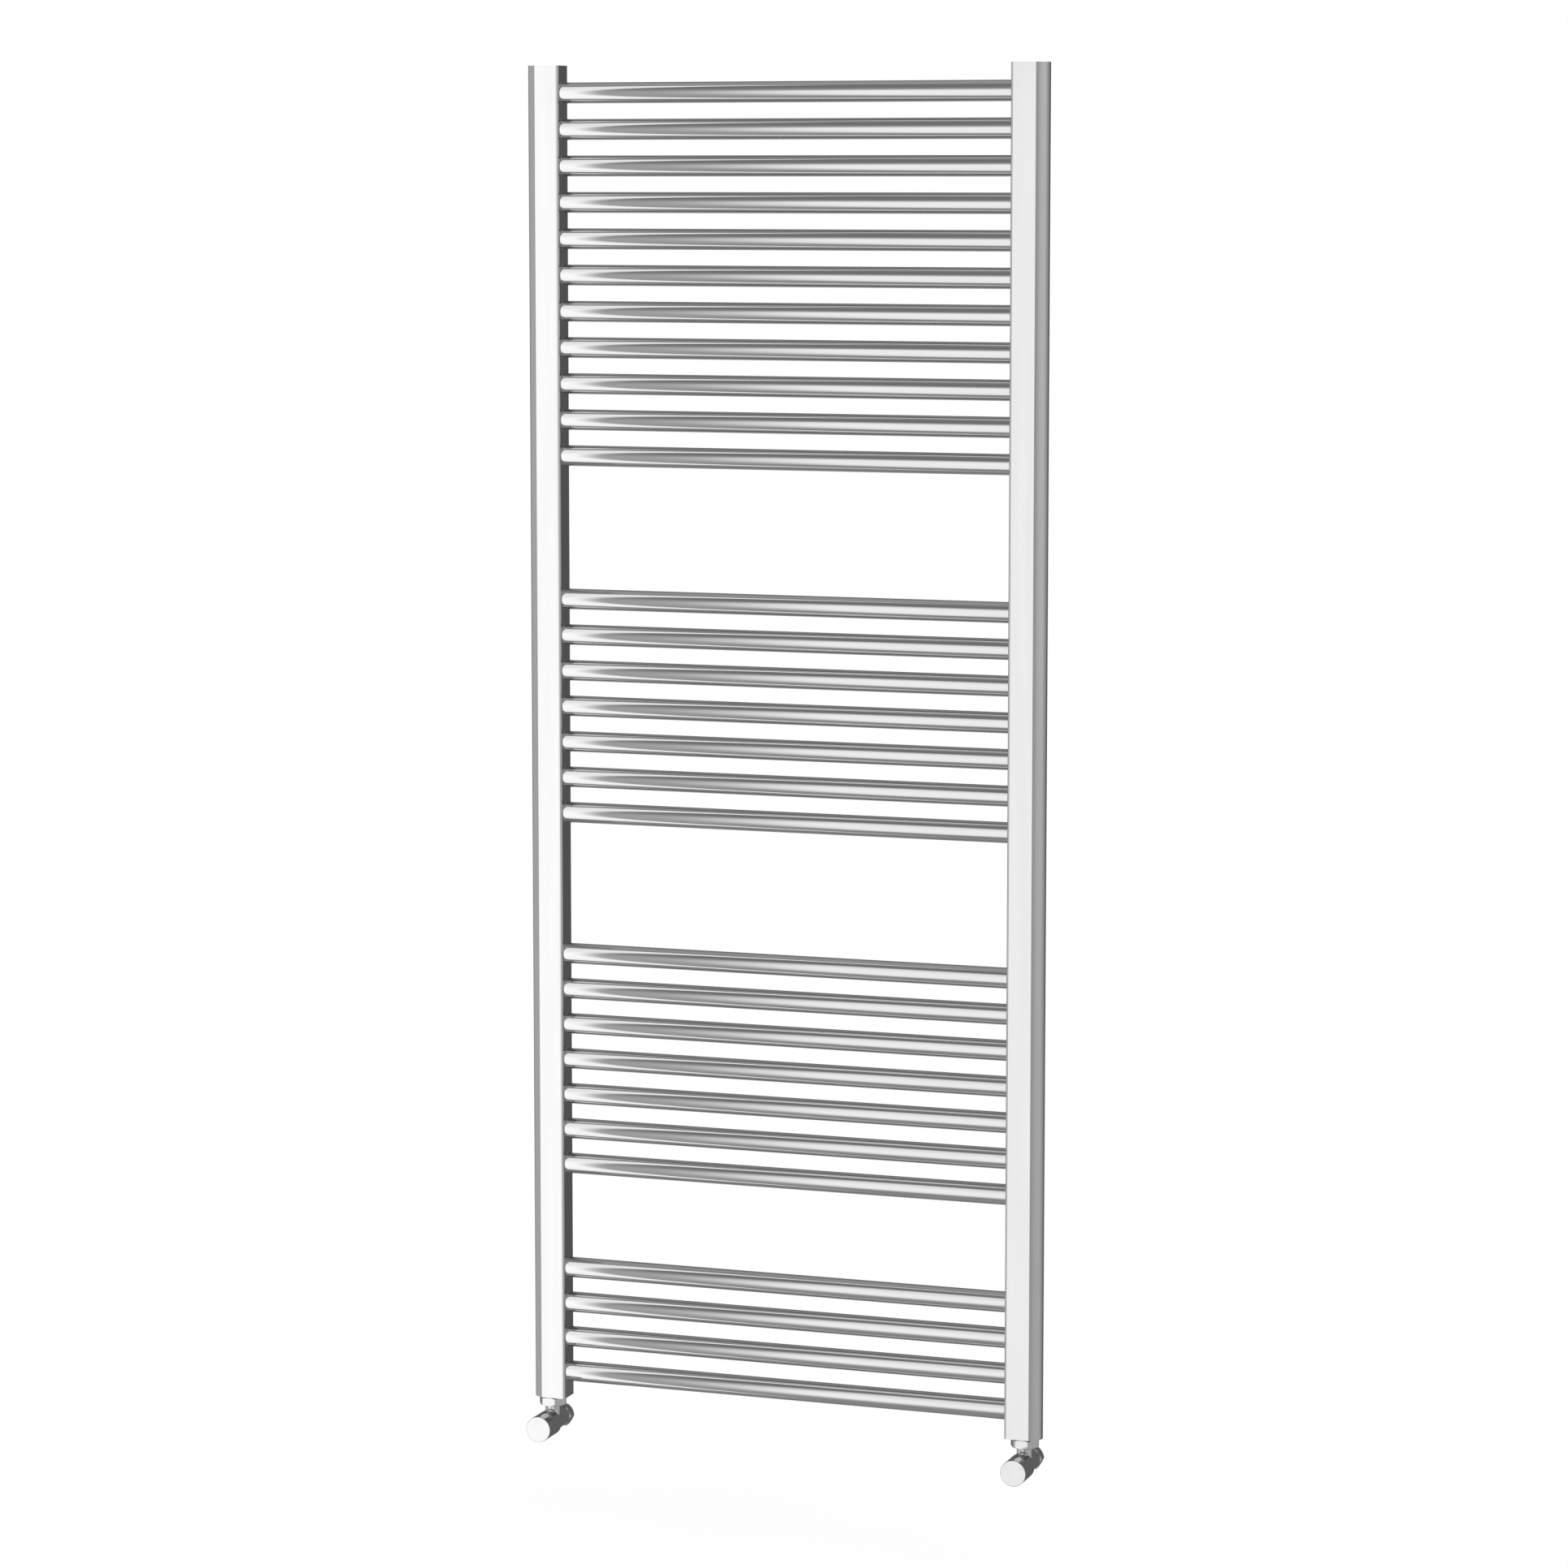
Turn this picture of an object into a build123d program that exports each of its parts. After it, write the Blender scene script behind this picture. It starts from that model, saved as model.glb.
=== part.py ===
from build123d import *
import os

# Chrome ladder towel radiator, 1500 x 600 mm, with a pair of angle valves.
# Frame: origin in the middle of the ladder, on the plane of the rung axes.
# +X runs along the rungs, +Y points to the wall, +Z is up. The front faces -Y.

# Ladder: rungs sit on an even grid, with empty places between the groups
ladder_height = 1500.0
ladder_width = 600.0
rung_pitch = 40.0
rung_groups = (11, 7, 7, 4)
empty_places = (3, 3, 2)
rung_diameter = 23.0
rung_wall = 1.2
rung_socket_depth = 4.0

# Upright: a D-shaped tube, flat towards the rungs and round outside
upright_width = 40.0
upright_depth = 30.0
upright_wall = 1.5
upright_corner = 3.0
end_plate = 3.0
bush_length = 10.0
bush_radius = 13.0
tapping_radius = 10.45

# Plugs in the top tappings
plug_recess = 0.5
plug_length = 9.0
plug_key = 8.0
plug_key_depth = 5.4
vent_key = 5.0
vent_key_top = 0.2
vent_key_base = 1.5
vent_screw_radius = 2.5
vent_screw_end = 6.9
vent_hole_end = 7.0
vent_recess_radius = 4.6
vent_recess_depth = 3.5
vent_waterway = 1.0

# Union between the upright and the valve; heights are below the upright's end
union_gap = 0.6
union_bottom = 10.0
union_lip = 2.0
union_across_flats = 28.5
union_corner = 2.9
union_thread_radius = 12.6
nut_chamfer_slope = 0.6
tail_screwed_length = 9.0
tail_clearance = 0.25
tail_flange_radius = 12.0
tail_flange = 1.8
tail_bore = 6.5
seal_thickness = 1.0
seal_inset = 0.5
head_bottom = 9.6

# Valve body; reaches are measured forwards from the upright's mid plane
valve_drop = 29.5
barrel_radius = 11.5
barrel_front = 12.0
barrel_back = -21.5
barrel_edge = 0.6
neck_radius = 9.0
port_radius = 5.5
chamber_radius = 8.0
seat_reach = -6.0
seat_radius = 5.0
bonnet_thread_radius = 9.0
bonnet_thread_start = 6.0

# Inlet: compression fitting for a 15 mm pipe
pipe_socket_radius = 7.6
pipe_stop = -12.5
inlet_thread_radius = 10.0
inlet_end = -29.0
olive_outer_radius = 9.4
olive_hole_radius = 7.6
olive_edge = 0.7
olive_back = -32.0
nut_across_flats = 23.0
nut_back = -34.5
nut_hole_radius = 8.0
nut_back_cut = (2.1, 3.8)

# Bonnet, spindle and valve plug
bonnet_hex = 20.0
bonnet_hex_front = 16.0
bonnet_neck_radius = 7.0
bonnet_front = 27.0
guide_across_flats = 10.0
guide_front = 19.4
spindle_radius = 3.5
running_gap = 0.05
gland_start = 22.0
gland_length = 2.0
gland_radius = 5.3
collar_radius = 4.6
collar_start = 17.3
collar_front = 19.3
drive_thread_radius = 2.5
drive_tip = 4.0
spindle_front = 38.0
square_start = 28.0
square_size = 5.0
disc_radius = 6.3
disc_thickness = 2.5
seat_gap = 0.05
plug_across_flats = 9.8
plug_front = 12.0
plug_hole_bottom = 0.2

# Handwheel and lockshield cap: the same plain cylinder outside
cap_radius = 14.5
cap_back = 10.7
cap_front = 45.7
cap_wall = 1.8
cap_face = 2.5
cap_edge = 0.6
hub_radius = 5.5
hub_back = 28.5
grip_outer_radius = 8.8
grip_back = 18.0

# Derived places
half_height = ladder_height / 2
inner_face = ladder_width / 2 - upright_width
upright_round = upright_depth / 2
pipe_x = ladder_width / 2 - upright_width / 2
flat_width = upright_width - upright_round
valve_z = -half_height - valve_drop
SIDES = (("left", -1), ("right", 1))
FROM_BASE = (Align.CENTER, Align.CENTER, Align.MIN)

places = []
place = 0
for count, empty in zip(rung_groups, empty_places + (0,)):
    places += range(place, place + count)
    place += count + empty
top_rung = rung_pitch * places[-1] / 2
rung_heights = [top_rung - rung_pitch * index for index in places]


def bar(plane, start, end, radius, mode=Mode.ADD):
    """A cylinder on the plane's axis, between two distances from the plane."""
    with Locations(plane.offset(min(start, end))):
        Cylinder(radius, abs(end - start), align=FROM_BASE, mode=mode)


def prism(plane, start, end, across_flats, sides=6, corner=0.0, mode=Mode.ADD):
    """A regular prism on the plane's axis, between two distances from the plane."""
    with BuildSketch(plane.offset(min(start, end))) as outline:
        RegularPolygon(across_flats / 2, sides, major_radius=False)
        if corner:
            fillet(outline.vertices(), corner)
    extrude(outline.sketch, amount=abs(end - start), mode=mode)


def nut_blank(plane, start, end, across_flats, corner=0.0, back_cut=None):
    """A hexagon turned down to a cone at both ends, as nuts are made. The back
    cut is how far the cone at its start reaches inwards and along."""
    corner_radius = across_flats / 3**0.5
    end_in = corner_radius - across_flats / 2
    end_along = nut_chamfer_slope * end_in
    start_in, start_along = back_cut or (end_in, end_along)
    lathe = Plane(plane.origin, x_dir=plane.x_dir, z_dir=plane.x_dir.cross(plane.z_dir))
    with BuildSketch(lathe) as profile:
        with BuildLine():
            Polyline(
                (0, start),
                (corner_radius - start_in, start),
                (corner_radius, start + start_along),
                (corner_radius, end - end_along),
                (corner_radius - end_in, end),
                (0, end),
                close=True,
            )
        make_face()
    revolve(profile.sketch, axis=Axis(plane.origin, plane.z_dir))
    prism(plane, start, end, across_flats, corner=corner, mode=Mode.INTERSECT)


def d_outline(builder, sign, inset):
    """The upright's D shape, drawn inside its outer line by the inset."""
    flat = flat_width - inset
    with Locations((sign * (inner_face + flat_width), 0)):
        Circle(upright_round - inset)
    with Locations((sign * (inner_face + inset + flat / 2), 0)):
        Rectangle(flat, upright_depth - 2 * inset)
    inner_corners = builder.vertices().sort_by(Axis.X)[:2]
    if sign < 0:
        inner_corners = builder.vertices().sort_by(Axis.X)[-2:]
    fillet(inner_corners, upright_corner - inset)


def end_cap(builder, sign, level, outward):
    """A D-shaped plate inside the tube's end, with a tapped bush behind it."""
    inwards = Plane((sign * pipe_x, 0, level), z_dir=(0, 0, -outward))
    with BuildSketch(Plane.XY.offset(level)) as plate:
        d_outline(plate, sign, upright_wall)
    extrude(plate.sketch, amount=-outward * end_plate)
    bar(inwards, 0, bush_length, bush_radius)
    bar(inwards, 0, bush_length, tapping_radius, Mode.SUBTRACT)


os.makedirs("parts", exist_ok=True)

# Uprights: hollow D tubes with a hole for the end of each rung
for side, sign in SIDES:
    with BuildPart() as upright:
        with BuildSketch(Plane.XY.offset(-half_height)) as section:
            d_outline(section, sign, 0)
        extrude(amount=ladder_height)
        with BuildSketch(Plane.XY.offset(-half_height)) as waterway:
            d_outline(waterway, sign, upright_wall)
        extrude(amount=ladder_height, mode=Mode.SUBTRACT)
        with BuildSketch(Plane.YZ.offset(sign * inner_face)):
            with Locations([(0, height) for height in rung_heights]):
                Circle(rung_diameter / 2)
        extrude(amount=sign * upright_wall, mode=Mode.SUBTRACT)
    upright.part.label = f"upright_{side}"
    export_step(upright.part, f"parts/upright_{side}.step")

# Rungs: round tubes whose ends stand inside the uprights
rung_reach = inner_face + rung_socket_depth
for number, height in enumerate(rung_heights, start=1):
    with BuildPart() as rung:
        with BuildSketch(Plane.YZ.offset(-rung_reach)):
            with Locations((0, height)):
                Circle(rung_diameter / 2)
                Circle(rung_diameter / 2 - rung_wall, mode=Mode.SUBTRACT)
        extrude(amount=2 * rung_reach)
    rung.part.label = f"rung_{number:02d}"
    export_step(rung.part, f"parts/rung_{number:02d}.step")

# End caps: closing plates with tapped bushes, flush with the tube's ends
for side, sign in SIDES:
    with BuildPart() as top_cap:
        end_cap(top_cap, sign, half_height, 1)
    top_cap.part.label = f"top_cap_{side}"
    export_step(top_cap.part, f"parts/top_cap_{side}.step")

    with BuildPart() as bottom_cap:
        end_cap(bottom_cap, sign, -half_height, -1)
    bottom_cap.part.label = f"bottom_cap_{side}"
    export_step(bottom_cap.part, f"parts/bottom_cap_{side}.step")

# Air vent in the right top tapping: a plug with a bleed screw in its recess
vent_top = Plane((pipe_x, 0, half_height - plug_recess), z_dir=(0, 0, -1))
with BuildPart() as vent_plug:
    bar(vent_top, 0, plug_length, tapping_radius)
    bar(vent_top, 0, vent_recess_depth, vent_recess_radius, Mode.SUBTRACT)
    bar(vent_top, 0, plug_length, vent_waterway, Mode.SUBTRACT)
    screw_hole = vent_screw_radius + running_gap
    bar(vent_top, vent_recess_depth, vent_hole_end, screw_hole, Mode.SUBTRACT)
vent_plug.part.label = "air_vent_plug"
export_step(vent_plug.part, "parts/air_vent_plug.step")

with BuildPart() as vent_screw:
    bar(vent_top, vent_key_base, vent_screw_end, vent_screw_radius)
    prism(vent_top, vent_key_top, vent_key_base, vent_key, sides=4)
vent_screw.part.label = "air_vent_screw"
export_step(vent_screw.part, "parts/air_vent_screw.step")

# Blanking plug in the left top tapping, turned with a hexagon key
blank_top = Plane((-pipe_x, 0, half_height - plug_recess), z_dir=(0, 0, -1))
with BuildPart() as blanking_plug:
    bar(blank_top, 0, plug_length, tapping_radius)
    prism(blank_top, 0, plug_key_depth, plug_key, mode=Mode.SUBTRACT)
blanking_plug.part.label = "blanking_plug"
export_step(blanking_plug.part, "parts/blanking_plug.step")

# Valves: one under each upright, inlet to the wall and head to the front
for side, sign in SIDES:
    x = sign * pipe_x
    down = Plane((x, 0, -half_height), x_dir=(1, 0, 0), z_dir=(0, 0, -1))
    front = Plane((x, 0, valve_z), x_dir=(1, 0, 0), z_dir=(0, -1, 0))
    lip_bottom = union_gap + union_lip
    flange_bottom = lip_bottom + tail_flange
    head_top = flange_bottom + seal_thickness

    # Tailpiece: screwed into the upright's bush, with a flange under the nut
    with BuildPart() as tailpiece:
        bar(down, -tail_screwed_length, lip_bottom, tapping_radius)
        bar(down, lip_bottom, flange_bottom, tail_flange_radius)
        bar(down, -tail_screwed_length, flange_bottom, tail_bore, Mode.SUBTRACT)
    tailpiece.part.label = f"tailpiece_{side}"
    export_step(tailpiece.part, f"parts/tailpiece_{side}.step")

    # Flat washer that seals the tailpiece on the valve
    with BuildPart() as union_seal:
        bar(down, flange_bottom, head_top, tail_flange_radius - seal_inset)
        bar(down, flange_bottom, head_top, tail_bore, Mode.SUBTRACT)
    union_seal.part.label = f"union_seal_{side}"
    export_step(union_seal.part, f"parts/union_seal_{side}.step")

    # Union nut: pulls the valve's head up against the tailpiece
    with BuildPart() as union_nut:
        nut_blank(down, union_gap, union_bottom, union_across_flats, union_corner)
        bar(down, union_gap, lip_bottom, tapping_radius + tail_clearance, Mode.SUBTRACT)
        bar(down, lip_bottom, union_bottom, union_thread_radius, Mode.SUBTRACT)
    union_nut.part.label = f"union_nut_{side}"
    export_step(union_nut.part, f"parts/union_nut_{side}.step")

    # Valve body: a barrel to the wall with a neck up to the union
    with BuildPart() as body:
        bar(front, barrel_back, barrel_front, barrel_radius)
        fillet(body.edges().filter_by(GeomType.CIRCLE), barrel_edge)
        bar(front, inlet_end, barrel_back, inlet_thread_radius)
        bar(down, head_bottom, valve_drop, neck_radius)
        bar(down, head_top, head_bottom, union_thread_radius)
        bar(down, head_top, valve_drop, port_radius, Mode.SUBTRACT)
        bar(front, seat_reach, bonnet_thread_start, chamber_radius, Mode.SUBTRACT)
        bar(front, bonnet_thread_start, barrel_front, bonnet_thread_radius, Mode.SUBTRACT)
        bar(front, pipe_stop, seat_reach, seat_radius, Mode.SUBTRACT)
        bar(front, inlet_end, pipe_stop, pipe_socket_radius, Mode.SUBTRACT)
    body.part.label = f"valve_body_{side}"
    export_step(body.part, f"parts/valve_body_{side}.step")

    # Olive: the ring that the compression nut squeezes onto the pipe
    with BuildPart() as olive:
        bar(front, olive_back, inlet_end, olive_outer_radius)
        chamfer(olive.edges().filter_by(GeomType.CIRCLE), olive_edge)
        bar(front, olive_back, inlet_end, olive_hole_radius, Mode.SUBTRACT)
    olive.part.label = f"olive_{side}"
    export_step(olive.part, f"parts/olive_{side}.step")

    # Compression nut: screwed on the body's inlet, with a hole for the pipe
    with BuildPart() as compression_nut:
        nut_blank(front, nut_back, barrel_back, nut_across_flats, back_cut=nut_back_cut)
        bar(front, olive_back, barrel_back, inlet_thread_radius, Mode.SUBTRACT)
        bar(front, nut_back, olive_back, nut_hole_radius, Mode.SUBTRACT)
    compression_nut.part.label = f"compression_nut_{side}"
    export_step(compression_nut.part, f"parts/compression_nut_{side}.step")

    # Bonnet: screwed into the barrel; guides the plug and seals the spindle
    with BuildPart() as bonnet:
        nut_blank(front, barrel_front, bonnet_hex_front, bonnet_hex)
        bar(front, bonnet_thread_start, barrel_front, bonnet_thread_radius)
        bar(front, bonnet_hex_front, bonnet_front, bonnet_neck_radius)
        prism(front, bonnet_thread_start, guide_front, guide_across_flats, mode=Mode.SUBTRACT)
        bar(front, guide_front, bonnet_front, spindle_radius + running_gap, Mode.SUBTRACT)
        bar(front, gland_start, gland_start + gland_length, gland_radius, Mode.SUBTRACT)
    bonnet.part.label = f"bonnet_{side}"
    export_step(bonnet.part, f"parts/bonnet_{side}.step")

    # Gland ring: a rubber ring in the bonnet's groove, round the spindle
    section_radius = (gland_radius - spindle_radius - running_gap) / 2
    with BuildPart() as gland_ring:
        with Locations(front.offset(gland_start + gland_length / 2)):
            Torus(gland_radius - section_radius, section_radius)
    gland_ring.part.label = f"gland_ring_{side}"
    export_step(gland_ring.part, f"parts/gland_ring_{side}.step")

    # Spindle: a collar keeps it in the bonnet while its thread drives the plug
    with BuildPart() as spindle:
        bar(front, drive_tip, collar_start, drive_thread_radius)
        bar(front, collar_start, collar_front, collar_radius)
        bar(front, collar_front, square_start, spindle_radius)
        prism(front, square_start, spindle_front, square_size, sides=4)
    spindle.part.label = f"spindle_{side}"
    export_step(spindle.part, f"parts/spindle_{side}.step")

    # Valve plug: a disc on the seat, with a hexagon stem that cannot turn
    disc_back = seat_reach + seat_gap
    with BuildPart() as plug:
        bar(front, disc_back, disc_back + disc_thickness, disc_radius)
        prism(front, disc_back + disc_thickness, plug_front, plug_across_flats)
        drive_hole = drive_thread_radius + running_gap
        bar(front, plug_hole_bottom, plug_front, drive_hole, Mode.SUBTRACT)
    plug.part.label = f"valve_plug_{side}"
    export_step(plug.part, f"parts/valve_plug_{side}.step")


def cap_shell(builder, front):
    """A plain cylinder with a rounded front edge, hollow from the back."""
    bar(front, cap_back, cap_front, cap_radius)
    fillet(builder.edges().filter_by(GeomType.CIRCLE), cap_edge)
    bar(front, cap_back, cap_front - cap_face, cap_radius - cap_wall, Mode.SUBTRACT)


# Handwheel on the right valve: its hub has a square socket for the spindle
wheel_front = Plane((pipe_x, 0, valve_z), x_dir=(1, 0, 0), z_dir=(0, -1, 0))
with BuildPart() as handwheel:
    cap_shell(handwheel, wheel_front)
    bar(wheel_front, hub_back, cap_front - cap_face, hub_radius)
    prism(wheel_front, hub_back, spindle_front, square_size, sides=4, mode=Mode.SUBTRACT)
handwheel.part.label = "handwheel"
export_step(handwheel.part, "parts/handwheel.step")

# Lockshield cap on the left valve: a sleeve inside it grips the bonnet
shield_front = Plane((-pipe_x, 0, valve_z), x_dir=(1, 0, 0), z_dir=(0, -1, 0))
with BuildPart() as lockshield_cap:
    cap_shell(lockshield_cap, shield_front)
    grip_inner_radius = bonnet_neck_radius + running_gap
    bar(shield_front, grip_back, cap_front - cap_face, grip_outer_radius)
    bar(shield_front, grip_back, cap_front - cap_face, grip_inner_radius, Mode.SUBTRACT)
lockshield_cap.part.label = "lockshield_cap"
export_step(lockshield_cap.part, "parts/lockshield_cap.step")
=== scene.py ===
import math

import bpy
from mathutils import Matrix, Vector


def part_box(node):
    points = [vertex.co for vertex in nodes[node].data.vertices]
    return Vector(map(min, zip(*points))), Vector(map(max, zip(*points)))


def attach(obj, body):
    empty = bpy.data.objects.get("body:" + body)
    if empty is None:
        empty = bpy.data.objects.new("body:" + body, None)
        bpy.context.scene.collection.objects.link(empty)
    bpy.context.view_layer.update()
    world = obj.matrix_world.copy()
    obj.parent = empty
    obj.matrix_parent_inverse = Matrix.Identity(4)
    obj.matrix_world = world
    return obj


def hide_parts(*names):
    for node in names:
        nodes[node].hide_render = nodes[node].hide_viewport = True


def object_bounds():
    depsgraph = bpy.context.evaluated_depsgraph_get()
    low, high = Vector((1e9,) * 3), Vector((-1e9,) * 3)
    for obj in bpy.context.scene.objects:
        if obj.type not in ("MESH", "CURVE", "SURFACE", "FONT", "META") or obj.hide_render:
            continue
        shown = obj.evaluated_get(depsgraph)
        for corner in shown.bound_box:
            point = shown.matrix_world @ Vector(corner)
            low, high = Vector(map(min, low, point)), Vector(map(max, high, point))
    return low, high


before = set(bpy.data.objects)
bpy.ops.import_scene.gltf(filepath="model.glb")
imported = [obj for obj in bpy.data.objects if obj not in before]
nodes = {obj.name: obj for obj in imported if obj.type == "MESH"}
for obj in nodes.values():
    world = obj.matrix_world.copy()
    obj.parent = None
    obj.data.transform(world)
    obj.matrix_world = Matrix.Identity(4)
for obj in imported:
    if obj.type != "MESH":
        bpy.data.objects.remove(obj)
cad_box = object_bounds()

# Uprights: D-shaped steel tubes, flat towards the rungs and round outside.
# Each is rolled and seam welded, drilled for the rungs, then polished and
# chrome plated with the whole ladder after brazing.
noise_low, noise_high = 0.3, 0.7


def link(tree, source, target):
    tree.links.new(source, target)


def new_material(name):
    """A material, its node tree and its shader."""
    material = bpy.data.materials.new(name)
    material.use_nodes = True
    tree = material.node_tree
    return material, tree, tree.nodes["Principled BSDF"]


def object_pattern(tree, stretch=(1, 1, 1)):
    """The piece's own coordinates, stretched along its grain."""
    coordinates = tree.nodes.new("ShaderNodeTexCoord")
    mapping = tree.nodes.new("ShaderNodeMapping")
    mapping.inputs["Scale"].default_value = stretch
    link(tree, coordinates.outputs["Object"], mapping.inputs["Vector"])
    return mapping.outputs["Vector"]


def noise(tree, vector, scale, detail=3.0):
    """Soft noise, which stays mostly between noise_low and noise_high."""
    texture = tree.nodes.new("ShaderNodeTexNoise")
    texture.inputs["Scale"].default_value = scale
    texture.inputs["Detail"].default_value = detail
    texture.inputs["Roughness"].default_value = 0.55
    link(tree, vector, texture.inputs["Vector"])
    return texture.outputs["Fac"]


def ramp(tree, factor, stops):
    """A colour ramp over stops of (place, colour)."""
    node = tree.nodes.new("ShaderNodeValToRGB")
    elements = node.color_ramp.elements
    while len(elements) < len(stops):
        elements.new(0.5)
    for element, (place, colour) in zip(elements, stops):
        element.position = place
        element.color = (*colour, 1.0)
    link(tree, factor, node.inputs["Fac"])
    return node.outputs["Color"]


def spread(tree, factor, low, high):
    """Turns a noise value into a number between low and high."""
    node = tree.nodes.new("ShaderNodeMapRange")
    node.inputs["From Min"].default_value = noise_low
    node.inputs["From Max"].default_value = noise_high
    node.inputs["To Min"].default_value = low
    node.inputs["To Max"].default_value = high
    link(tree, factor, node.inputs["Value"])
    return node.outputs["Result"]


def bump(tree, height, depth, strength, under=None):
    """Relief of a depth in metres, over any finer relief given as under."""
    node = tree.nodes.new("ShaderNodeBump")
    node.inputs["Strength"].default_value = strength
    node.inputs["Distance"].default_value = depth
    link(tree, height, node.inputs["Height"])
    if under is not None:
        link(tree, under, node.inputs["Normal"])
    return node.outputs["Normal"]


def chrome(name, stretch, tones, smooth, hazy, wave_depth):
    """Bright plate over polished metal: long shallow waves left by the polishing
    wheel, a faint haze and a slight change of tone where the plate is thinner."""
    material, tree, shader = new_material(name)
    shader.inputs["Metallic"].default_value = 1.0
    shader.inputs["Specular Tint"].default_value = (0.8, 0.8, 0.8, 1.0)
    grain = object_pattern(tree, stretch)
    waves = noise(tree, grain, 22.0, 1.0)
    haze = noise(tree, grain, 90.0, 4.0)
    pores = noise(tree, object_pattern(tree), 2600.0, 2.0)
    thin, thick = tones
    tone = ramp(tree, haze, ((noise_low, thin), (noise_high, thick)))
    link(tree, tone, shader.inputs["Base Color"])
    link(tree, spread(tree, haze, smooth, hazy), shader.inputs["Roughness"])
    pitted = bump(tree, pores, 0.00001, 0.12)
    link(tree, bump(tree, waves, wave_depth, 1.0, pitted), shader.inputs["Normal"])
    return material


def finish_nodes(material, *names):
    """Gives carried-over CAD nodes their real finish."""
    for name in names:
        for slot in nodes[name].material_slots:
            slot.material = material


plate_tones = ((0.61, 0.611, 0.615), (0.64, 0.64, 0.642))
upright_chrome = chrome("upright_chrome", (1, 1, 0.05), plate_tones, 0.035, 0.06, 0.00002)
finish_nodes(upright_chrome, "upright_left", "upright_right")

# Rungs: 29 straight round steel tubes, cut to length, with their ends inside
# the uprights' drilled holes. All are the same tube, so one tube is made and
# set at each height that the frame gives.
rung_names = sorted(name for name in nodes if name.startswith("rung_"))
rung_boxes = [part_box(name) for name in rung_names]
rung_centres = [(low + high) / 2 for low, high in rung_boxes]
rung_length = rung_boxes[0][1].x - rung_boxes[0][0].x
rung_radius = (rung_boxes[0][1].z - rung_boxes[0][0].z) / 2
rung_wall = 0.0012
round_steps = 96
sharp_angle = 0.6


def add(tree, kind, **inputs):
    """A node with some of its inputs set or linked, by their names."""
    node = tree.nodes.new(kind)
    for name, value in inputs.items():
        socket = node.inputs[name.replace("_", " ")]
        if isinstance(value, bpy.types.NodeSocket):
            link(tree, value, socket)
        else:
            socket.default_value = value
    return node


def calculate(tree, operation, first, second):
    """A sum on two values, each a number or a socket."""
    node = tree.nodes.new("ShaderNodeMath")
    node.operation = operation
    for socket, value in zip(node.inputs, (first, second)):
        if isinstance(value, bpy.types.NodeSocket):
            link(tree, value, socket)
        else:
            socket.default_value = value
    return node.outputs[0]


def start_tree(name, sizes):
    """A geometry tree that takes points, named sizes and a finish."""
    tree = bpy.data.node_groups.new(name, "GeometryNodeTree")
    sockets = [("Centres", "INPUT", "Geometry")]
    sockets += [(size, "INPUT", "Float") for size in sizes]
    sockets += [("Finish", "INPUT", "Material"), ("Pieces", "OUTPUT", "Geometry")]
    for label, way, kind in sockets:
        tree.interface.new_socket(label, in_out=way, socket_type="NodeSocket" + kind)
    given = tree.nodes.new("NodeGroupInput").outputs
    result = tree.nodes.new("NodeGroupOutput").inputs
    return tree, given, result


def end_tree(tree, given, result, piece):
    """Sets the piece at every centre, keeps its real edges sharp and plates it."""
    instances = add(
        tree, "GeometryNodeInstanceOnPoints", Points=given["Centres"], Instance=piece
    )
    real = add(tree, "GeometryNodeRealizeInstances", Geometry=instances.outputs[0])
    smooth = add(tree, "GeometryNodeSetShadeSmooth", Geometry=real.outputs[0])
    angle = tree.nodes.new("GeometryNodeInputMeshEdgeAngle").outputs["Unsigned Angle"]
    sharp = calculate(tree, "GREATER_THAN", angle, sharp_angle)
    edges = add(
        tree, "GeometryNodeSetShadeSmooth", Geometry=smooth.outputs[0], Selection=sharp
    )
    edges.domain = "EDGE"
    edges.inputs["Shade Smooth"].default_value = False
    plated = add(
        tree, "GeometryNodeSetMaterial", Geometry=edges.outputs[0], Material=given["Finish"]
    )
    link(tree, plated.outputs[0], result[0])


def put(name, data):
    """An object in the scene with the given mesh, light or camera."""
    piece = bpy.data.objects.new(name, data)
    bpy.context.scene.collection.objects.link(piece)
    return piece


def set_out(name, tree, centres, values):
    """Runs a tree on one point for each centre and keeps its plain mesh."""
    points = bpy.data.meshes.new(name + "_centres")
    points.from_pydata([tuple(centre) for centre in centres], [], [])
    holder = put(name + "_centres", points)
    modifier = holder.modifiers.new(name, "NODES")
    modifier.node_group = tree
    for item in tree.interface.items_tree:
        if item.name in values:
            modifier[item.identifier] = values[item.name]
    graph = bpy.context.evaluated_depsgraph_get()
    mesh = bpy.data.meshes.new_from_object(holder.evaluated_get(graph))
    mesh.name = name
    holder.modifiers.remove(modifier)
    bpy.data.objects.remove(holder)
    bpy.data.meshes.remove(points)
    return put(name, mesh)


rung_chrome = chrome("rung_chrome", (0.05, 1, 1), plate_tones, 0.035, 0.06, 0.00002)
tree, given, result = start_tree("rung_tubes", ("Radius", "Wall", "Length"))
half_wall = calculate(tree, "MULTIPLY", given["Wall"], 0.5)
mid_wall = calculate(tree, "SUBTRACT", given["Radius"], half_wall)
ring = add(tree, "GeometryNodeCurvePrimitiveCircle", Resolution=round_steps, Radius=mid_wall)
section = add(
    tree,
    "GeometryNodeCurvePrimitiveQuadrilateral",
    Width=given["Wall"],
    Height=given["Length"],
)
tube = add(
    tree, "GeometryNodeCurveToMesh", Curve=ring.outputs[0], Profile_Curve=section.outputs[0]
)
laid = add(
    tree, "GeometryNodeTransform", Geometry=tube.outputs[0], Rotation=(0, math.pi / 2, 0)
)
end_tree(tree, given, result, laid.outputs[0])
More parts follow.
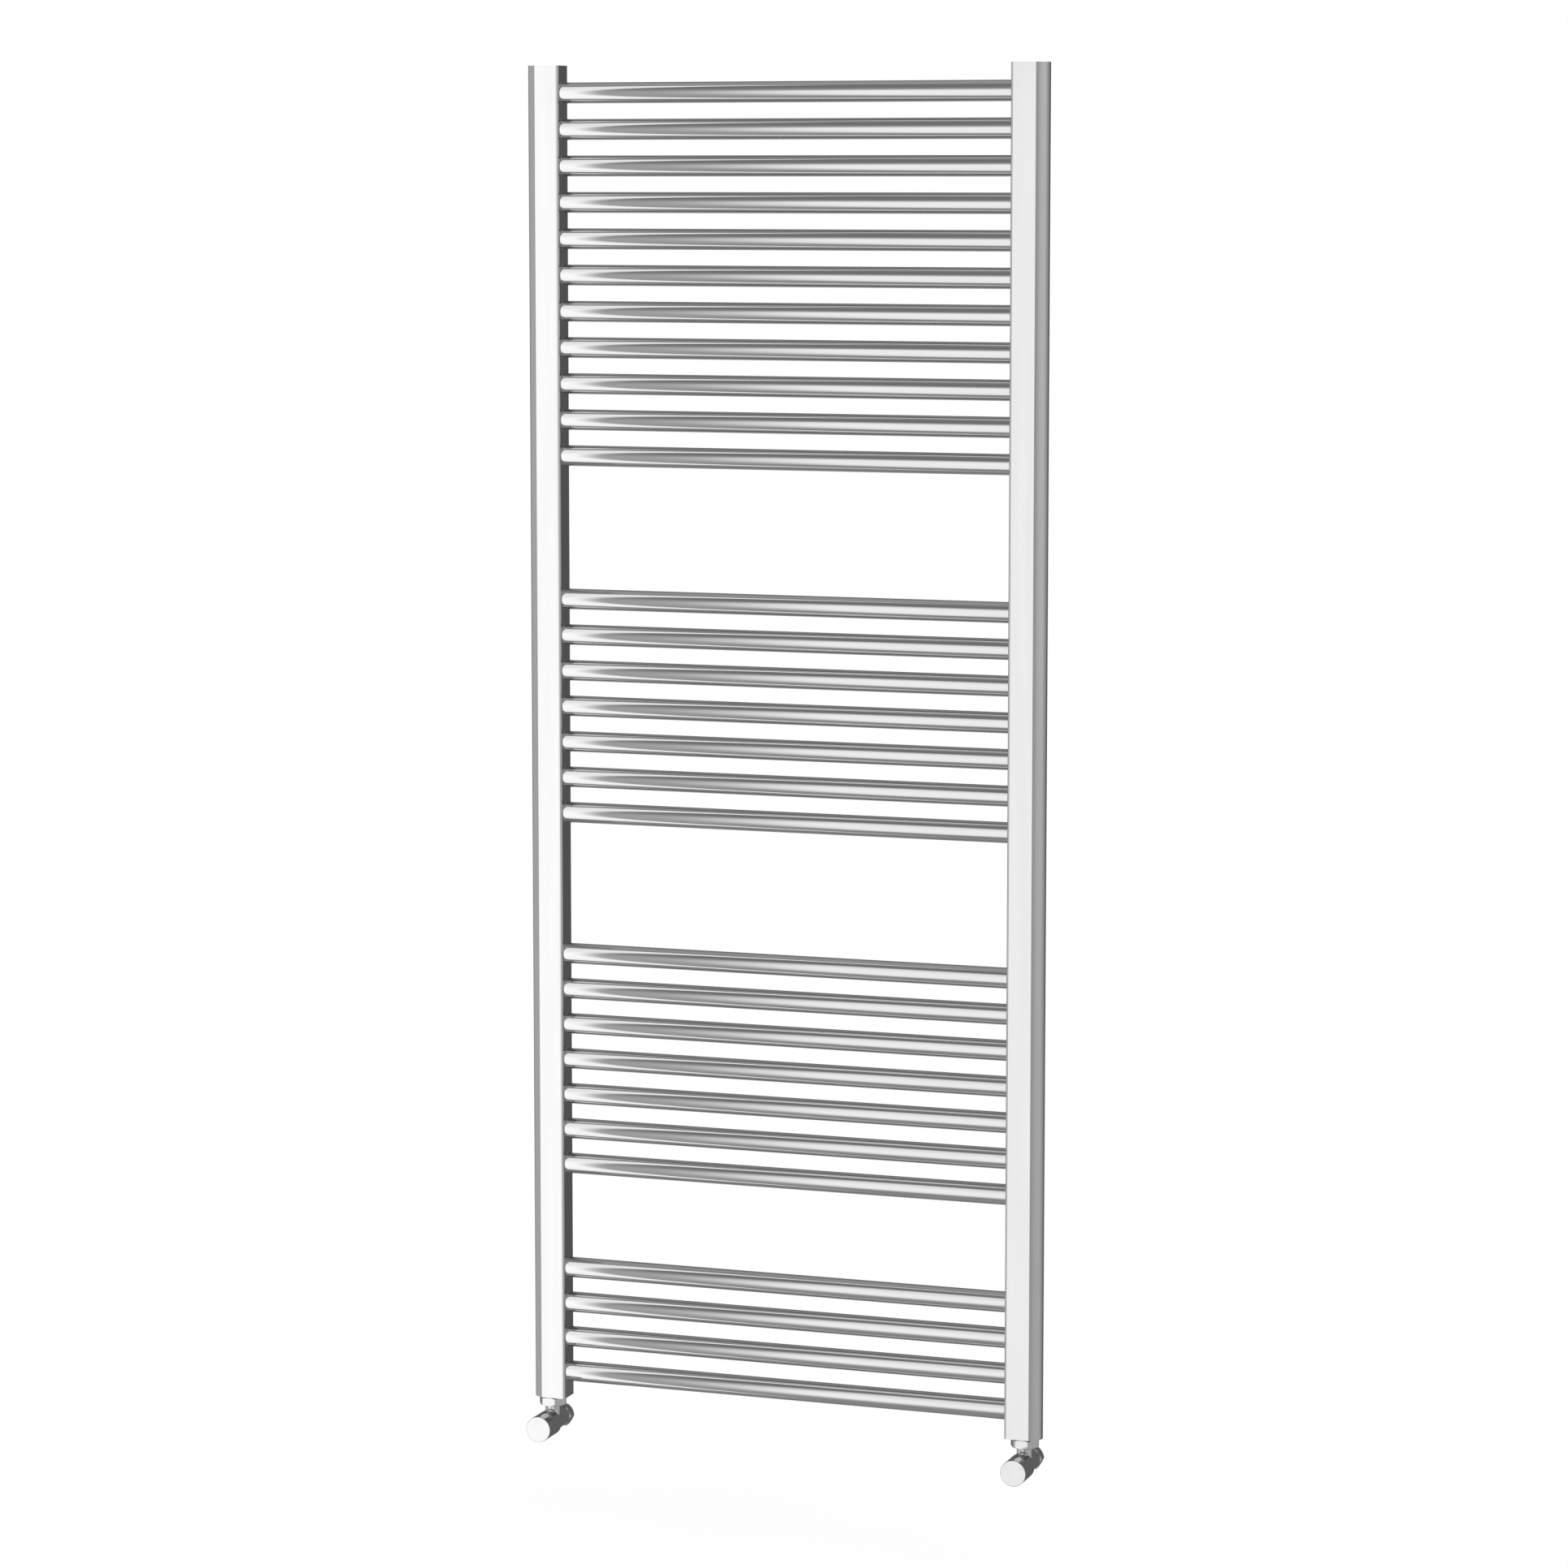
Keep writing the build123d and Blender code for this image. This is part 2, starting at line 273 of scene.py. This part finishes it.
rungs = set_out(
    "rungs",
    tree,
    rung_centres,
    {"Radius": rung_radius, "Wall": rung_wall, "Length": rung_length, "Finish": rung_chrome},
)
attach(rungs, "radiator")
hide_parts(*rung_names)

# Braze fillets: a small hollow fillet of braze runs round each rung where it
# enters an upright. It is drawn in by the flame, then plated with the rest.
# Its back and foot are sunk a little into both tubes.
inner_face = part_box("upright_right")[0].x
fillet_leg = 0.0015
fillet_sunk = 0.0003
fillet_hollow = 0.2


def point(tree, first, second):
    """A point of the fillet's section, measured out from the corner."""
    return add(tree, "ShaderNodeCombineXYZ", X=first, Y=second).outputs[0]


tree, given, result = start_tree("braze_fillets", ("Radius", "Leg", "Half Span"))
ring = add(
    tree, "GeometryNodeCurvePrimitiveCircle", Resolution=round_steps, Radius=given["Radius"]
)
hollow = calculate(tree, "MULTIPLY", given["Leg"], fillet_hollow)
on_face = point(tree, given["Leg"], 0.0)
on_tube = point(tree, 0.0, given["Leg"])
buried = point(tree, -fillet_sunk, -fillet_sunk)
arc = add(
    tree,
    "GeometryNodeCurveQuadraticBezier",
    Resolution=7,
    Start=on_face,
    Middle=point(tree, hollow, hollow),
    End=on_tube,
)
down = add(tree, "GeometryNodeCurvePrimitiveLine", Start=on_tube, End=buried)
back = add(tree, "GeometryNodeCurvePrimitiveLine", Start=buried, End=on_face)
outline = tree.nodes.new("GeometryNodeJoinGeometry")
for part in (back, down, arc):
    link(tree, part.outputs[0], outline.inputs[0])
swept = add(
    tree, "GeometryNodeCurveToMesh", Curve=ring.outputs[0], Profile_Curve=outline.outputs[0]
)
closed = add(
    tree, "GeometryNodeMergeByDistance", Geometry=swept.outputs[0], Distance=0.00001
)
pair = tree.nodes.new("GeometryNodeJoinGeometry")
for sign in (-1, 1):
    reach = calculate(tree, "MULTIPLY", given["Half Span"], float(sign))
    turned = add(
        tree,
        "GeometryNodeTransform",
        Geometry=closed.outputs[0],
        Rotation=(0, -sign * math.pi / 2, 0),
        Translation=add(tree, "ShaderNodeCombineXYZ", X=reach).outputs[0],
    )
    link(tree, turned.outputs[0], pair.inputs[0])
end_tree(tree, given, result, pair.outputs[0])
braze_fillets = set_out(
    "braze_fillets",
    tree,
    rung_centres,
    {"Radius": rung_radius, "Leg": fillet_leg, "Half Span": inner_face, "Finish": rung_chrome},
)
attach(braze_fillets, "radiator")

# End caps: pressed steel plates inside the uprights' ends, each with a tapped
# bush behind it, welded in, ground flush and plated with the ladder.
finish_nodes(
    upright_chrome, "top_cap_left", "top_cap_right", "bottom_cap_left", "bottom_cap_right"
)

# Top plugs: a turned and plated air vent plug with its bare brass bleed screw
# on the right, and a plated blanking plug with a key socket on the left. Both
# are screwed into the top caps' bushes.


def brass(name, axis_stretch):
    """Turned brass: warm metal with fine tool rings and a little tarnish."""
    material, tree, shader = new_material(name)
    shader.inputs["Metallic"].default_value = 1.0
    tarnish = noise(tree, object_pattern(tree), 160.0, 4.0)
    rings = noise(tree, object_pattern(tree, axis_stretch), 1800.0, 2.0)
    tones = ((0.25, (0.5, 0.34, 0.14)), (0.75, (0.82, 0.64, 0.34)))
    link(tree, ramp(tree, tarnish, tones), shader.inputs["Base Color"])
    link(tree, spread(tree, tarnish, 0.34, 0.2), shader.inputs["Roughness"])
    link(tree, bump(tree, rings, 0.00004, 0.5), shader.inputs["Normal"])
    return material


fitting_tones = ((0.6, 0.602, 0.607), (0.635, 0.636, 0.64))
fitting_chrome = chrome("fitting_chrome", (1, 1, 1), fitting_tones, 0.05, 0.08, 0.00001)
vent_brass = brass("vent_brass", (0.02, 0.02, 1))
finish_nodes(fitting_chrome, "air_vent_plug", "blanking_plug")
finish_nodes(vent_brass, "air_vent_screw")

# Valve bodies, union nuts and inlet nuts: forged brass turned to size and
# chrome plated. The union nut draws the valve up to the tailpiece under the
# upright, and the inlet nut squeezes an olive onto the pipe from the wall.
valve_brass = brass("valve_brass", (0.02, 1, 0.02))
seal_rubber, tree, shader = new_material("seal_rubber")
grain = noise(tree, object_pattern(tree), 700.0, 4.0)
blacks = ((noise_low, (0.012, 0.012, 0.013)), (noise_high, (0.03, 0.03, 0.032)))
link(tree, ramp(tree, grain, blacks), shader.inputs["Base Color"])
link(tree, spread(tree, grain, 0.55, 0.75), shader.inputs["Roughness"])
link(tree, bump(tree, grain, 0.00005, 0.3), shader.inputs["Normal"])
plated_pieces = ("tailpiece", "union_nut", "valve_body", "compression_nut")
brass_pieces = ("olive", "bonnet", "spindle", "valve_plug")
rubber_pieces = ("union_seal", "gland_ring")
for side in ("left", "right"):
    finish_nodes(fitting_chrome, *(f"{piece}_{side}" for piece in plated_pieces))
    finish_nodes(valve_brass, *(f"{piece}_{side}" for piece in brass_pieces))
    finish_nodes(seal_rubber, *(f"{piece}_{side}" for piece in rubber_pieces))

# Handwheel and lockshield cap: plain turned and plated cylinders that hide the
# valves' bonnets. The right one turns the spindle, and the left one pulls off.
cap_chrome = chrome("cap_chrome", (1, 0.3, 1), plate_tones, 0.04, 0.065, 0.00001)
finish_nodes(cap_chrome, "handwheel", "lockshield_cap")

# Floor: a plain pale studio floor a hand's breadth under the valves, because
# the radiator hangs on a wall. It is only a ground for the eye, so the plate
# doesn't mirror it.
floor_height = cad_box[0][2] - 0.12
floor_reach = 60.0


def matt_paint(name, roughness, glow):
    """Paint that mirrors nothing and glows with a plain grey."""
    material, tree, shader = new_material(name)
    shader.inputs["Roughness"].default_value = roughness
    shader.inputs["Specular IOR Level"].default_value = 0.0
    shader.inputs["Emission Color"].default_value = (1, 1, 1, 1)
    shader.inputs["Emission Strength"].default_value = glow
    return material, tree, shader


def flat_piece(name, corners, paint):
    """A single painted face with four corners."""
    mesh = bpy.data.meshes.new(name)
    mesh.from_pydata(corners, [], [(0, 1, 2, 3)])
    mesh.materials.append(paint)
    return put(name, mesh)


floor_paint, tree, shader = matt_paint("floor_paint", 0.9, 0.88)
mottle = noise(tree, object_pattern(tree), 3.0)
floor_greys = ((noise_low, (0.28, 0.28, 0.28)), (noise_high, (0.3, 0.3, 0.3)))
link(tree, ramp(tree, mottle, floor_greys), shader.inputs["Base Color"])
floor_corners = [
    (x * floor_reach, y * floor_reach, floor_height)
    for x, y in ((-1, -1), (1, -1), (1, 1), (-1, 1))
]
floor = flat_piece("floor", floor_corners, floor_paint)
floor.visible_glossy = False

# Studio light: a tall softbox in front, a tall strip beside the left upright,
# a soft grey room that shades from floor to ceiling, and a dark card behind
# each valve. Greys are as the plate shows them, so the light is that much more.
plate_share = 0.625
world = bpy.data.worlds.new("studio")
bpy.context.scene.world = world
world.use_nodes = True
tree = world.node_tree
background = tree.nodes["Background"]
ray = tree.nodes.new("ShaderNodeSeparateXYZ")
link(tree, tree.nodes.new("ShaderNodeTexCoord").outputs["Generated"], ray.inputs[0])
toward_front = calculate(tree, "MULTIPLY", ray.outputs["Y"], -1.0)


def fade(tree, value, start, end):
    """0 at start and 1 at end, easing in and out."""
    node = tree.nodes.new("ShaderNodeMapRange")
    node.interpolation_type = "SMOOTHSTEP"
    node.inputs["From Min"].default_value = start
    node.inputs["From Max"].default_value = end
    link(tree, value, node.inputs["Value"])
    return node.outputs["Result"]


def blend_grey(tree, factor, base, grey):
    """Mixes from one grey to another, each a number or a colour socket."""
    node = tree.nodes.new("ShaderNodeMix")
    node.data_type = "RGBA"
    mixed = {s.identifier: s for s in (*node.inputs, *node.outputs)}
    for socket, value in (("A_Color", base), ("B_Color", grey)):
        if isinstance(value, bpy.types.NodeSocket):
            link(tree, value, mixed[socket])
        else:
            mixed[socket].default_value = (value, value, value, 1)
    link(tree, factor, mixed["Factor_Float"])
    return mixed["Result_Color"]


def grey_stops(greys):
    """Ramp stops from (angle, grey), with the first and last at its ends."""
    first, last = greys[0][0], greys[-1][0]
    return [((angle - first) / (last - first), (grey,) * 3) for angle, grey in greys]


# Over and under: 0 degrees is the front, 90 the ceiling, -90 the floor.
room_greys = (
    (-180, 0.10), (-167, 0.13), (-158, 0.33), (-150, 0.37), (-142, 0.31), (-133, 0.25),
    (-122, 0.19), (-112, 0.17), (-100, 0.22), (-90, 0.24), (-78, 0.22), (-66, 0.21),
    (-54, 0.25), (-40, 0.31), (-10, 0.335), (5, 0.33), (20, 0.27), (32, 0.2),
    (42, 0.165), (54, 0.145), (64, 0.155), (76, 0.2), (88, 0.26), (98, 0.3),
    (108, 0.29), (120, 0.24), (132, 0.2), (146, 0.19), (158, 0.19), (168, 0.13),
    (180, 0.10),
)
height_turn = calculate(tree, "ARCTAN2", ray.outputs["Z"], toward_front)
height_turn = calculate(tree, "DIVIDE", height_turn, 2 * math.pi)
height_turn = calculate(tree, "ADD", height_turn, 0.5)
room = ramp(tree, height_turn, grey_stops(room_greys))

# The right side: 0 degrees is the front, 90 the side, 180 the wall behind.
right_greys = (
    (0, 0.3), (15, 0.27), (30, 0.31), (45, 0.39), (62, 0.42), (85, 0.44), (97, 0.42),
    (108, 0.34), (120, 0.28), (138, 0.22), (150, 0.12), (158, 0.08), (180, 0.07),
)
side_turn = calculate(tree, "ARCTAN2", ray.outputs["X"], toward_front)
side_turn = calculate(tree, "DIVIDE", side_turn, math.pi)
right_room = ramp(tree, side_turn, grey_stops(right_greys))
downward = fade(tree, ray.outputs["Z"], 0.05, -0.5)
forward = fade(tree, ray.outputs["Y"], 0.45, 0.1)
front_floor = calculate(tree, "MULTIPLY", downward, forward)
right_room = blend_grey(tree, front_floor, right_room, 0.29)
room = blend_grey(tree, fade(tree, ray.outputs["X"], 0.05, 0.3), room, right_room)
room = blend_grey(tree, fade(tree, ray.outputs["X"], -0.6, -1.0), room, 0.36)
seen = tree.nodes.new("ShaderNodeLightPath").outputs["Is Camera Ray"]
link(tree, blend_grey(tree, seen, room, plate_share), background.inputs["Color"])
background.inputs["Strength"].default_value = 1.0 / plate_share


def panel(name, left, right, bottom, top, reach, grey, edges):
    """A soft light panel in front of the ladder, which faces the wall. Edges
    are the places, in metres, between which it fades in."""
    width, height = right - left, top - bottom
    data = bpy.data.lights.new(name, "AREA")
    data.shape = "RECTANGLE"
    data.size = width
    data.size_y = height
    data.energy = grey / plate_share * math.pi * width * height
    data.use_nodes = True
    tree = data.node_tree
    emission = [node for node in tree.nodes if node.type == "EMISSION"][0]
    across = tree.nodes.new("ShaderNodeSeparateXYZ")
    face = tree.nodes.new("ShaderNodeNewGeometry").outputs["Parametric"]
    link(tree, face, across.inputs[0])
    strength = 1.0
    for axis, dark, full in edges:
        start, size = (left, width) if axis == "X" else (bottom, height)
        part = fade(tree, across.outputs[axis], (dark - start) / size, (full - start) / size)
        strength = calculate(tree, "MULTIPLY", part, strength)
    link(tree, strength, emission.inputs["Strength"])
    lamp = put(name, data)
    lamp.location = ((left + right) / 2, -reach, (bottom + top) / 2)
    lamp.rotation_euler = (math.pi / 2, 0, 0)
    lamp.visible_camera = False
    lamp.visible_diffuse = False


softbox_edges = (("X", -0.755, -0.435), ("Y", -2.2, -1.1), ("Y", 1.5, 0.65))
panel("front_softbox", -0.755, 0.51, -2.2, 1.5, 1.5, 0.5, softbox_edges)
strip_edges = (("X", -0.333, -0.38),)
panel("left_strip", -0.595, -0.333, -1.9, 1.9, 0.33, 0.62, strip_edges)


def card(name, left, right, bottom, top, reach, grey):
    """A dark card behind a valve, which only the plate mirrors."""
    paint, tree, shader = matt_paint(name + "_paint", 1.0, grey / plate_share)
    shader.inputs["Base Color"].default_value = (0, 0, 0, 1)
    outline = ((left, bottom), (right, bottom), (right, top), (left, top))
    piece = flat_piece(name, [(x, reach, z) for x, z in outline], paint)
    piece.visible_camera = False
    piece.visible_diffuse = False
    piece.visible_shadow = False
    piece.visible_transmission = False


card_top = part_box("upright_left")[0].z + 0.006
card_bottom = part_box("lockshield_cap")[0].z - 0.07
for side in ("left", "right"):
    nut_low, nut_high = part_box(f"compression_nut_{side}")
    card_left, card_right = nut_low.x - 0.05, nut_high.x + 0.05
    card_place = nut_high.y + 0.012
    card(f"{side}_card", card_left, card_right, card_bottom, card_top, card_place, 0.11)

# Camera: near the height of the ladder's top and to its right, turned down a
# little, so that it sees the valves from above and the rungs run downhill.
camera_data = bpy.data.cameras.new("camera")
camera_data.lens = 111.27
camera_data.sensor_width = 36.0
camera_data.shift_y = -0.045
camera_data.clip_end = 200.0
camera = put("camera", camera_data)
camera.location = (1.7708, -5.0, 0.6324)
turned_down, turned_left = math.radians(6.364), math.radians(19.514)
camera.rotation_euler = (math.pi / 2 - turned_down, 0, turned_left)
bpy.context.scene.camera = camera
bpy.context.scene.view_settings.view_transform = "Standard"
